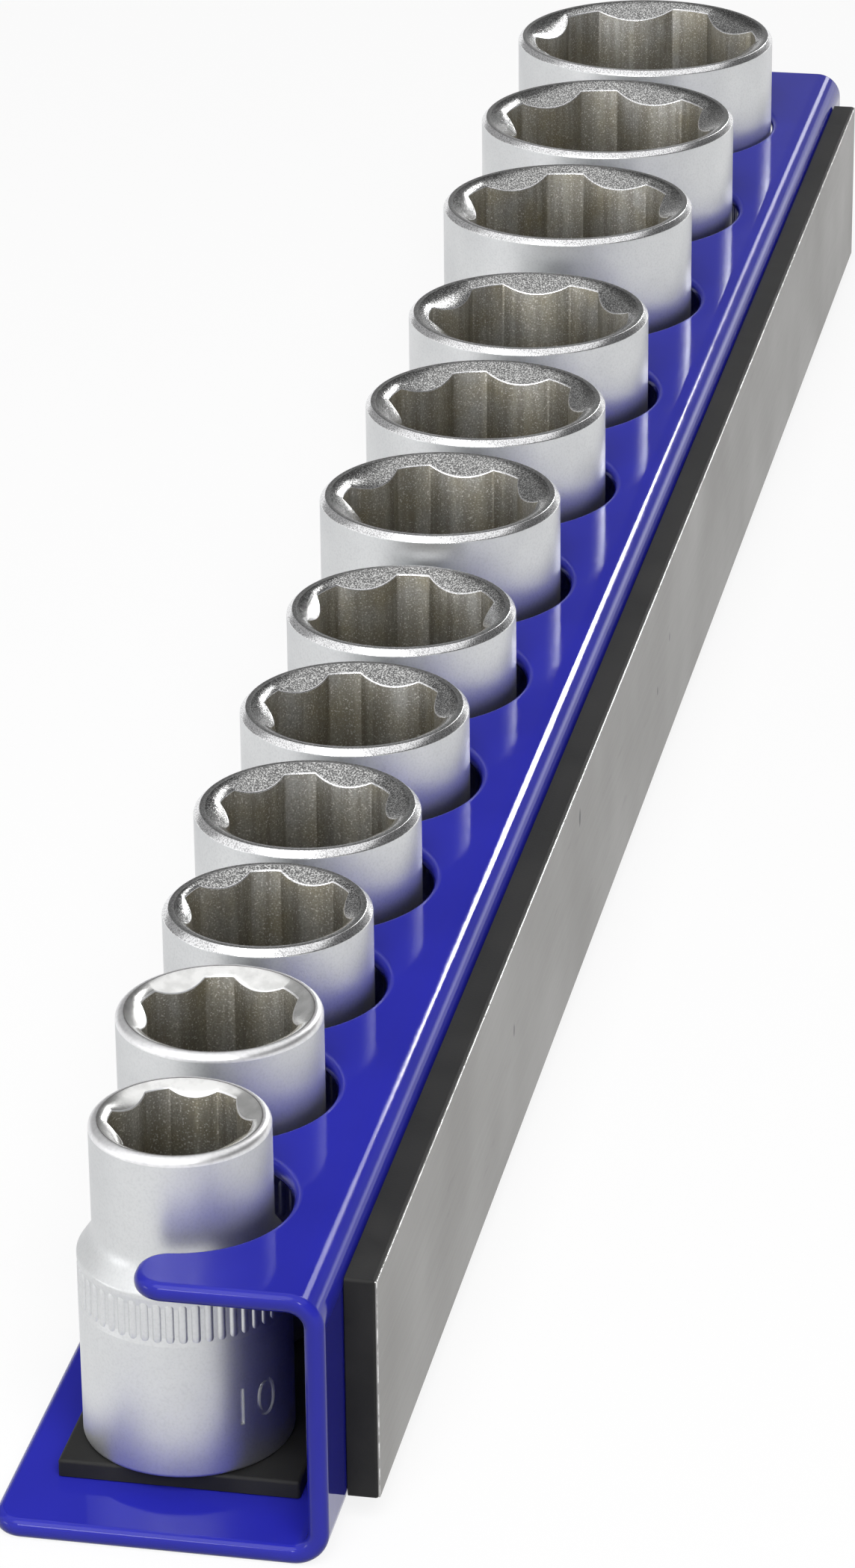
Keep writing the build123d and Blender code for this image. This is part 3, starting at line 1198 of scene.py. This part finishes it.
@dataclass
class Socket:
    """One socket: turned body, six-point mouth, drive square, knurl band and stamped size."""

    size: SocketSize
    form: SocketForm
    finishes: list[bpy.types.Material]
    knurl: KnurlTree
    length: float = field(init=False)
    foot: Vector = field(init=False)
    mouth: float = field(init=False)
    drive: float = field(init=False)
    flank: float = field(init=False)
    relief: float = field(init=False)

    def __post_init__(self) -> None:
        """Takes the socket's place and length from its node."""
        box = NodeBox.of(self.size.node)
        self.length = box.size.z
        self.foot = Vector((box.centre.x, box.centre.y, box.low.z))
        self.mouth = self.size.mouth / 2
        self.drive = self.size.drive / 2
        self.flank = self.size.across_flats * MM / 2
        self.relief = min(self.flank * self.form.relief_share, self.drive - self.form.drive_wall)

    def hexagon(self, angles: np.ndarray) -> np.ndarray:
        """Radius of the six-point hole, with wide corners and flanks that bow inwards.

        Args:
            angles: Directions round the axis.

        Returns:
            Radius in each direction.
        """
        corner = self.flank / math.cos(math.pi / 6)
        half_side = math.pi / 6 - self.form.corner_half_angle
        bend_centre = (corner ** 2 - self.flank ** 2) / (2 * (corner * math.cos(half_side) - self.flank))
        bend_radius = bend_centre - self.flank
        away = (angles - math.radians(self.size.turn)) % (math.pi / 3) - math.pi / 6
        inner = np.sqrt(np.maximum(bend_radius ** 2 - (bend_centre * np.sin(away)) ** 2, 0))
        flank = bend_centre * np.cos(away) - inner
        return np.where(np.abs(away) > half_side, corner, flank)

    def square(self, angles: np.ndarray, half: float) -> np.ndarray:
        """Radius of the drive square with its rounded corners.

        Args:
            angles: Directions round the axis.
            half: Half the square's width.

        Returns:
            Radius in each direction.
        """
        rounding = self.form.drive_corner
        flat = half / np.maximum(np.abs(np.cos(angles)), np.abs(np.sin(angles)))
        away = np.abs((angles % (math.pi / 2)) - math.pi / 4)
        reach = (half - rounding) * math.sqrt(2)
        under = np.maximum(rounding ** 2 - (reach * np.sin(away)) ** 2, 0)
        round_radius = reach * np.cos(away) + np.sqrt(under)
        tangent = math.pi / 4 - math.atan2(half - rounding, half)
        return np.where(away < tangent, round_radius, flat)

    @property
    def shoulder_foot(self) -> float:
        """Height of the shoulder's lower edge over the foot."""
        return self.form.shoulder_top - self.form.shoulder_slope_share * abs(self.mouth - self.drive)

    def knurl_low(self) -> float:
        """Height of the lower end of the knurl band over the foot."""
        top = min(self.form.knurl_top, self.shoulder_foot - self.form.knurl_gap)
        return top - self.form.knurl_height

    def outside(self) -> list[Corner]:
        """Corners of the turned outside from the foot up to the lead-in."""
        form, mouth, drive = self.form, self.mouth, self.drive
        low = self.knurl_low()
        high = low + form.knurl_height
        groove, ramp = drive - form.knurl_depth, form.knurl_run_out
        hole = self.square(np.zeros(1), form.drive_square / 2 + form.drive_chamfer)[0]
        corners = [
            Corner(hole * form.foot_ring, 0, 0, Zone.BODY),
            Corner(drive, 0, form.foot_round, Zone.BODY),
        ]
        for radius, height in ((drive, low), (groove, low + ramp), (groove, high - ramp), (drive, high)):
            corners.append(Corner(radius, height, form.groove_round, Zone.BODY))
        if mouth != drive:
            corners.append(Corner(drive, self.shoulder_foot, form.shoulder_round, Zone.BODY))
            corners.append(Corner(mouth, form.shoulder_top, form.shoulder_round, Zone.BODY))
        return corners + self.rim()

    def rim(self) -> list[Corner]:
        """Corners of the rim: a round lip on a smooth mouth, and a chamfer on a grainy one."""
        form, mouth, top = self.form, self.mouth, self.length
        land = Corner(mouth - form.rim_lands[self.size.rim], top, 0.0, Zone.RIM)
        if self.size.rim is Mouth.GRAINY:
            chamfer = form.mouth_chamfer
            outer = Corner(mouth, top - chamfer, form.chamfer_round, Zone.BODY)
            return [outer, Corner(mouth - chamfer, top, form.chamfer_round / 2, Zone.EDGE), land]
        lip = []
        for step in range(form.lip_steps + 1):
            angle = math.pi / 2 * step / form.lip_steps
            radius = mouth - form.lip_radius * (1 - math.cos(angle))
            height = top - form.lip_radius * (1 - math.sin(angle))
            lip.append(Corner(radius, height, 0.0, Zone.EDGE if step else Zone.BODY))
        return [*lip, land]

    def cavity(self, lathe: Lathe) -> None:
        """Adds the rings of the lead-in, the six-point hole, the relief bore and the drive square.

        Args:
            lathe: The skin that is made.
        """
        form, length = self.form, self.length
        wide = self.mouth - form.rim_lands[self.size.rim]
        hole = self.hexagon(lathe.angles)
        cone_foot = length - (wide - hole) * form.lead_in_slope
        lathe.ring(hole + form.lip_start, cone_foot + form.lip_start * form.lead_in_slope, Zone.LEAD_IN)
        lathe.ring(hole + form.lip_middle[0], cone_foot + form.lip_middle[1], Zone.EDGE)
        lathe.ring(hole, cone_foot - form.lip_end, Zone.EDGE)
        hole_foot = length - form.hex_depth
        lathe.ring(hole, hole_foot, Zone.BROACHED)
        lathe.ring(self.relief, hole_foot, Zone.BROACHED)
        lathe.ring(self.relief, form.drive_depth, Zone.BROACHED)
        square = self.square(lathe.angles, form.drive_square / 2)
        for height in self.drive_heights():
            lathe.ring(np.maximum(square, self.detent(lathe.angles, height)), height, Zone.BROACHED)
        outer = self.square(lathe.angles, form.drive_square / 2 + form.drive_chamfer)
        lathe.ring(outer, 0.0, Zone.EDGE)

    def drive_heights(self) -> list[float]:
        """Heights of the drive square's rings, close together at its detent dimples."""
        form = self.form
        dimple = math.sqrt(form.detent_ball ** 2 - (form.detent_ball - form.detent_depth) ** 2)
        turns = [math.pi * step / form.dimple_steps for step in range(form.dimple_steps + 1)]
        inner = [form.detent_height + dimple * math.cos(turn) for turn in turns]
        return [form.drive_depth, *inner, form.drive_chamfer]

    def detent(self, angles: np.ndarray, height: float) -> np.ndarray:
        """Radius to which the detent balls dent the square's faces at a height.

        Args:
            angles: Directions round the axis.
            height: Height over the foot.

        Returns:
            Radius in each direction, zero where there is no dimple.
        """
        form = self.form
        reach = form.drive_square / 2 + form.detent_depth - form.detent_ball
        ball = form.detent_ball ** 2 - (height - form.detent_height) ** 2
        away = (angles + math.pi / 4) % (math.pi / 2) - math.pi / 4
        under = ball - (reach * np.sin(away)) ** 2
        return np.where(under > 0, reach * np.cos(away) + np.sqrt(np.maximum(under, 0)), 0.0)

    def stamp(self) -> bpy.types.Object:
        """Cutter for the stamped size, wrapped round the drive end."""
        curve = bpy.data.curves.new("stamp", "FONT")
        curve.body = str(self.size.across_flats)
        curve.size = self.form.stamp_height / self.form.stamp_cap
        curve.align_x = curve.align_y = "CENTER"
        curve.extrude = self.form.stamp_depth
        curve.resolution_u = self.form.stamp_steps
        curve.offset = -self.form.stamp_thinning * curve.size
        text = bpy.data.objects.new("stamp", curve)
        bpy.context.scene.collection.objects.link(text)
        graph = bpy.context.evaluated_depsgraph_get()
        mesh = bpy.data.meshes.new_from_object(text.evaluated_get(graph), depsgraph=graph)
        bpy.data.objects.remove(text)
        for vertex in mesh.vertices:
            angle = math.radians(self.size.stamp_direction) + vertex.co.x / self.drive
            radius = self.drive + vertex.co.z
            height = self.form.stamp_middle + vertex.co.y
            spot = Vector((radius * math.cos(angle), radius * math.sin(angle), height))
            vertex.co = self.foot + spot
        net = bmesh.new()
        net.from_mesh(mesh)
        bmesh.ops.remove_doubles(net, verts=net.verts, dist=self.form.stamp_weld)
        net.to_mesh(mesh)
        net.free()
        return make_object("stamp", mesh, [])

    def body(self) -> bpy.types.Object:
        """The socket's skin with its size stamped in."""
        lathe = Lathe(self.form.directions)
        for radius, height, zone in rounded_outline(self.outside(), self.form.outline_steps):
            lathe.ring(radius, height, zone)
        self.cavity(lathe)
        name = f"{self.size.node}_body"
        piece = make_object(name, lathe.mesh(name, self.foot), self.finishes)
        cutter = self.stamp()
        modifier = piece.modifiers.new("stamp", "BOOLEAN")
        modifier.operation = "DIFFERENCE"
        modifier.solver = "EXACT"
        modifier.object = cutter
        piece = baked(piece)
        bpy.data.objects.remove(cutter)
        soften(piece.data, self.form.crease)
        return piece

    def knurl_band(self) -> bpy.types.Object:
        """Ribs of the drive end."""
        form = self.form
        ribs = round(math.tau * self.drive / form.knurl_pitch)
        middle = self.foot + Vector((0, 0, self.knurl_low() + form.knurl_height / 2))
        return self.knurl.band(f"{self.size.node}_knurl", {
            "Centre": tuple(middle),
            "Radius": self.drive - form.rib_depth,
            "Ribs": ribs,
            "Rib Width": form.knurl_pitch * form.rib_share,
            "Rib Height": form.knurl_height,
            "Rib Depth": form.rib_depth,
            "Finish": self.finishes[Zone.BODY.value],
        })

    def build(self) -> None:
        """Makes the socket's pieces and hangs them on its body."""
        dress(self.body(), self.size.node, "satin_chrome", self.size.node)
        dress(self.knurl_band(), self.size.node, "satin_chrome")


@dataclass(frozen=True)
class Softbox:
    """Square lamp that faces a point. It lights mirrors alone, or else matt surfaces alone."""

    name: str
    place: Triple
    target: Triple
    width: float
    power: float
    for_mirrors: bool = True

    def build(self) -> None:
        """Hangs the lamp."""
        data = bpy.data.lights.new(self.name, "AREA")
        data.shape = "SQUARE"
        data.size = self.width
        data.energy = self.power
        lamp = bpy.data.objects.new(self.name, data)
        away = Vector(self.target) - Vector(self.place)
        turn = away.to_track_quat("-Z", "Y").to_matrix().to_4x4()
        lamp.matrix_world = Matrix.Translation(self.place) @ turn
        lamp.visible_glossy = self.for_mirrors
        lamp.visible_diffuse = not self.for_mirrors
        bpy.context.scene.collection.objects.link(lamp)


@dataclass(frozen=True)
class Card:
    """Card that only mirrors see, bent round the object.

    Its azimuths run from +Y towards +X. It has its first level up to the start of the fade and
    its second one from the end of it on. Directions are in degrees.
    """

    name: str
    azimuths: Span
    elevations: Span
    levels: Span
    radius: float = 7.0
    fade: Span = (15, 25)
    columns: int = 24
    rows: int = 12

    def corner(self, row: int, column: int) -> Triple:
        """Place of one corner of the card's grid.

        Args:
            row: Its row, from the lower edge up.
            column: Its column, from the first azimuth on.

        Returns:
            The place.
        """
        (left, right), (low, high) = self.azimuths, self.elevations
        rise = math.radians(low + (high - low) * row / self.rows)
        turn = math.radians(left + (right - left) * column / self.columns)
        flat = self.radius * math.cos(rise)
        return flat * math.sin(turn), flat * math.cos(turn), self.radius * math.sin(rise)

    def mesh(self) -> bpy.types.Mesh:
        """The bent grid."""
        across = self.columns + 1
        points = [self.corner(row, column) for row in range(self.rows + 1) for column in range(across)]
        faces = [
            (start, start + 1, start + across + 1, start + across)
            for row in range(self.rows) for start in range(row * across, row * across + self.columns)
        ]
        mesh = bpy.data.meshes.new(self.name)
        mesh.from_pydata(points, [], faces)
        return mesh

    def build(self) -> None:
        """Hangs the card, hidden from everything but glossy rays."""
        material, graph = new_material(self.name)
        height = graph.add("ShaderNodeSeparateXYZ", {0: graph.place()}).outputs[2]
        low, high = (self.radius * math.sin(math.radians(angle)) for angle in self.fade)
        level = graph.ramp(height, (low, high), self.levels)
        graph.shade("Material", graph.first("ShaderNodeEmission", {"Color": WHITE, "Strength": level}))
        card = make_object(self.name, self.mesh(), [material])
        for kind in ("camera", "diffuse", "transmission", "volume_scatter", "shadow"):
            setattr(card, f"visible_{kind}", False)


@dataclass
class Studio:
    """Plain pale floor, soft light and the camera."""

    photo_height: float = 2099.0
    photo_focal: float = 7277.1
    sensor: float = 36.0
    eye: Triple = (0.09736, -0.51873, 0.23439)
    right: Triple = (0.981484, 0.191279, -0.010025)
    forward: Triple = (-0.178245, 0.89294, -0.413384)
    shift: Span = (0.0009, -0.0033)
    clip: Span = (0.01, 20.0)
    floor_half: float = 8.0
    fill_level: float = 0.22
    floor_colour: Triple = (0.86, 0.86, 0.86)
    floor_bounce: Triple = (0.2, 0.2, 0.2)
    floor_glow: float = 0.86
    softboxes: tuple[Softbox, ...] = (
        Softbox("near_softbox", (-0.15, -0.45, 0.62), (0.0, -0.08, 0.02), 0.45, 1.3),
        Softbox("overhead", (0.3, -1.05, 1.25), (0.0, 0.0, 0.0), 1.2, 33.0, False),
        Softbox("left_softbox", (-0.68, -0.46, 0.07), (0.0, -0.13, 0.02), 0.2, 0.4),
        Softbox("left_glint", (-0.187, -0.71, 0.4), (0.0, -0.16, 0.02), 0.12, 0.45),
        Softbox("right_glint", (0.227, -0.687, 0.44), (0.0, -0.16, 0.02), 0.1, 0.5),
    )
    cards: tuple[Card, ...] = (
        Card("back_flag", (-29, 125), (8, 48), (0.32, 0.11)),
        Card("left_flag", (-80, -29), (8, 48), (0.32, 0.36)),
        Card("right_flag", (125, 155), (1, 44), (0.35, 0.35)),
        Card("front_card", (155, 235), (2, 40), (1.0, 1.0)),
        Card("window_card", (12.5, 20.5), (18.5, 23.2), (40.0, 40.0), 6.5),
        Card("lintel_card", (17.0, 29.0), (23.4, 42.0), (4.5, 4.5), 6.5),
        Card("sill_card", (8.0, 12.5), (12.0, 18.5), (3.5, 3.5), 6.5),
        Card("horizon_card", (19, 45), (1.0, 5.5), (2.0, 2.0), 6.8),
    )

    def camera(self) -> None:
        """Camera at the photograph's place and angle."""
        data = bpy.data.cameras.new("camera")
        data.sensor_width = self.sensor
        data.lens = self.sensor * self.photo_focal / self.photo_height
        data.shift_x, data.shift_y = self.shift
        data.clip_start, data.clip_end = self.clip
        camera = bpy.data.objects.new("camera", data)
        right, forward = Vector(self.right), Vector(self.forward)
        up = right.cross(forward)
        turn = Matrix((right, up, -forward)).transposed().to_4x4()
        camera.matrix_world = Matrix.Translation(self.eye) @ turn
        bpy.context.scene.collection.objects.link(camera)
        bpy.context.scene.camera = camera

    def seen(self, graph: Graph) -> Output:
        """1 for what the camera, a mirror or a clear piece looks at, and 0 for light.

        Args:
            graph: The tree that asks.

        Returns:
            The value.
        """
        rays = graph.add("ShaderNodeLightPath").outputs
        share = rays["Is Camera Ray"]
        for name in ("Is Glossy Ray", "Is Transmission Ray"):
            share = graph.math("MAXIMUM", share, rays[name])
        return share

    def world(self) -> None:
        """White surroundings that light the object at a plain level."""
        world = bpy.data.worlds.new("studio")
        bpy.context.scene.world = world
        graph = Graph(world)
        strength = graph.ramp(self.seen(graph), (0.0, 1.0), (self.fill_level, 1.0))
        graph.shade("World", graph.first("ShaderNodeBackground", {"Color": WHITE, "Strength": strength}))

    def floor(self) -> None:
        """Pale floor that keeps the object's shadow."""
        half = self.floor_half
        mesh = bpy.data.meshes.new("floor")
        corners = [(-half, -half, 0), (half, -half, 0), (half, half, 0), (-half, half, 0)]
        mesh.from_pydata(corners, [], [(0, 1, 2, 3)])
        material, graph = new_material("floor_paper")
        bounce = graph.add("ShaderNodeLightPath").outputs["Is Diffuse Ray"]
        colour = graph.mix(bounce, self.floor_colour, self.floor_bounce)
        matt = graph.first("ShaderNodeBsdfDiffuse", {"Color": colour})
        white = graph.first("ShaderNodeEmission", {"Color": WHITE, "Strength": 1.0})
        share = graph.ramp(self.seen(graph), (0.0, 1.0), (0.0, self.floor_glow))
        graph.shade("Material", graph.first("ShaderNodeMixShader", {0: share, 1: matt, 2: white}))
        make_object("floor", mesh, [material])

    def build(self) -> None:
        """Sets the stage."""
        bpy.context.scene.view_settings.view_transform = "Standard"
        self.camera()
        self.world()
        self.floor()
        for piece in (*self.softboxes, *self.cards):
            piece.build()


CUT_EDGE = GrainyChrome(
    "cut_edge", (0.75, 0.75, 0.74), (0.35, 0.35, 0.34), 0.9 * MM, 0.5, 0.2, 0.004 * MM,
)
BODY_CHROMES = {
    Mouth.SMOOTH: SatinChrome(),
    Mouth.GRAINY: SatinChrome("grained_chrome", pit_share=0.3, matt=(0.35, 0.42), grain_depth=0.009 * MM),
}
RIM_CHROMES = {
    Mouth.SMOOTH: (
        GrainyChrome(
            "smooth_edge", (0.86, 0.86, 0.87), (0.78, 0.78, 0.79), 0.4 * MM, 0.6, 0.4, 0.003 * MM,
        ),
        GrainyChrome(
            "smooth_ring", (0.58, 0.56, 0.56), (0.46, 0.44, 0.45), 0.4 * MM, 0.5, 0.3, 0.003 * MM,
        ),
        GrainyChrome(
            "smooth_lead_in", (0.90, 0.90, 0.89), (0.76, 0.76, 0.75), 1.4 * MM, 0.6, 0.2, 0.004 * MM,
        ),
    ),
    Mouth.GRAINY: (
        GrainyChrome(
            "grainy_edge", (0.92, 0.92, 0.93), (0.50, 0.50, 0.51), 0.15 * MM, 0.62, 0.2, 0.008 * MM,
        ),
        GrainyChrome(
            "grainy_ring", (0.60, 0.60, 0.60), (0.28, 0.28, 0.28), 0.14 * MM, 0.45, 0.32, 0.007 * MM,
        ),
        GrainyChrome(
            "grainy_lead_in", (0.80, 0.80, 0.79), (0.15, 0.15, 0.15), 0.14 * MM, 0.38, 0.2, 0.004 * MM,
        ),
    ),
}


def finishes_of_sockets() -> dict[Mouth, list[bpy.types.Material]]:
    """Materials of a socket in the order of its zones, for each kind of rim."""
    walls = BroachedSteel().material()
    return {
        mouth: [BODY_CHROMES[mouth].material(), *[chrome.material() for chrome in chromes], walls]
        for mouth, chromes in RIM_CHROMES.items()
    }


def main() -> None:
    """Builds every part of the scene in order."""
    logging.basicConfig(level=logging.INFO, format="%(name)s: %(message)s")
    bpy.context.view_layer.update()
    Studio().build()
    Channel(Enamel()).build()
    MagnetStrips(MagnetRubber(), BrushedFacing(), CUT_EDGE, BondingTape()).build()
    finishes = finishes_of_sockets()
    knurl = KnurlTree()
    form = SocketForm()
    for size in SOCKETS:
        Socket(size, form, finishes[size.rim], knurl).build()


if __name__ == "__main__":
    main()
